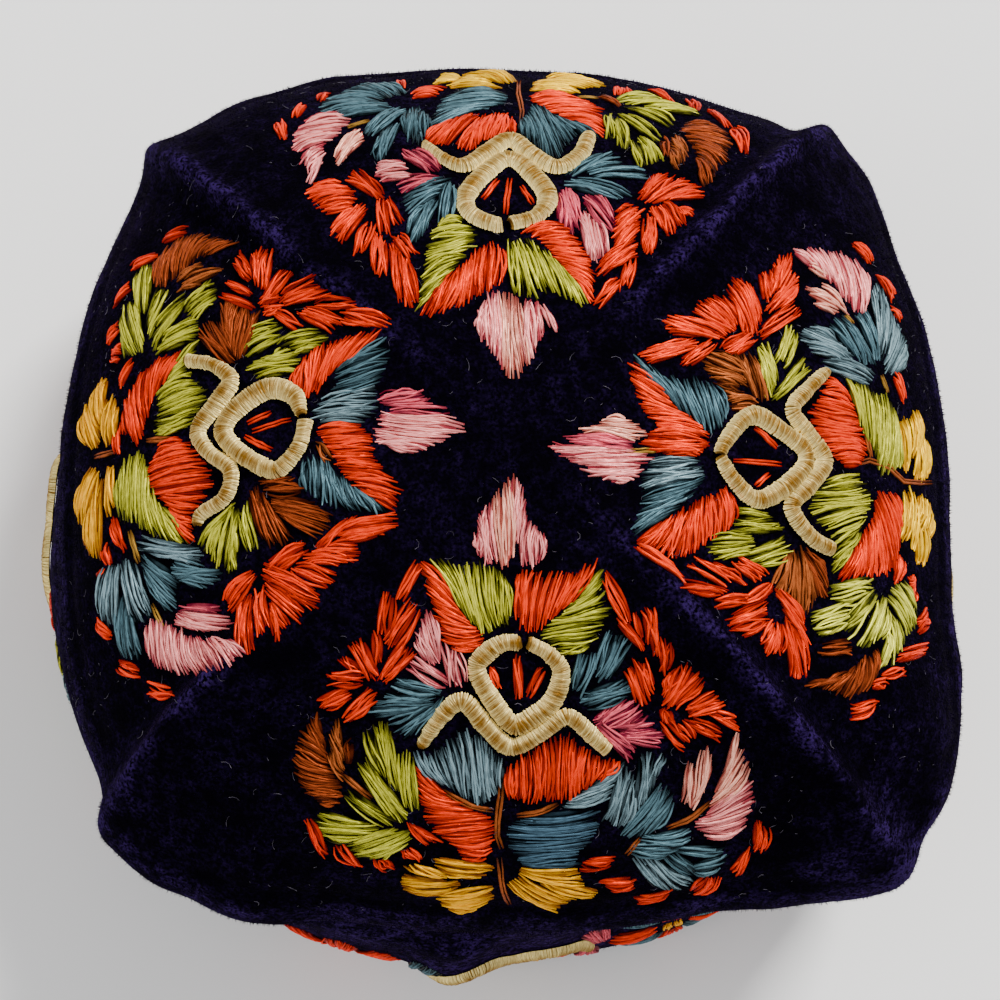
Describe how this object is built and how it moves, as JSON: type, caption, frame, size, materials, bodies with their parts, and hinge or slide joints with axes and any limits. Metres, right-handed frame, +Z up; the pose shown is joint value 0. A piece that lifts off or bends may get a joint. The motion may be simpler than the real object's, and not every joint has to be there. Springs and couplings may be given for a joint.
{
  "type": "tubeteika",
  "caption": "Square-cornered velvet skullcap with a ridged domed crown, a soft band, floral silk embroidery and couched cream cords; worn on the head.",
  "frame": {"origin": "on the hem plane, under the middle of the cap's box", "axes": "+Z up from the hem to the top of the crown, -Y to the front, +X to the right as seen from the front"},
  "size_m": [0.1854, 0.1828, 0.1],
  "materials": {
    "velvet": "cut-pile velvet, soft sheen",
    "silk_thread": "glossy floss silk, satin"
  },
  "bodies": {
    "root": {"band": "velvet", "gore_right": "velvet", "gore_back": "velvet", "gore_left": "velvet", "gore_front": "velvet", "ring_cord_right": "silk_thread", "wave_cord_right": "silk_thread", "band_cord_right": "silk_thread", "ring_cord_back": "silk_thread", "wave_cord_back": "silk_thread", "band_cord_back": "silk_thread", "ring_cord_left": "silk_thread", "wave_cord_left": "silk_thread", "band_cord_left": "silk_thread", "ring_cord_front": "silk_thread", "wave_cord_front": "silk_thread", "band_cord_front": "silk_thread"}
  },
  "joints": []
}
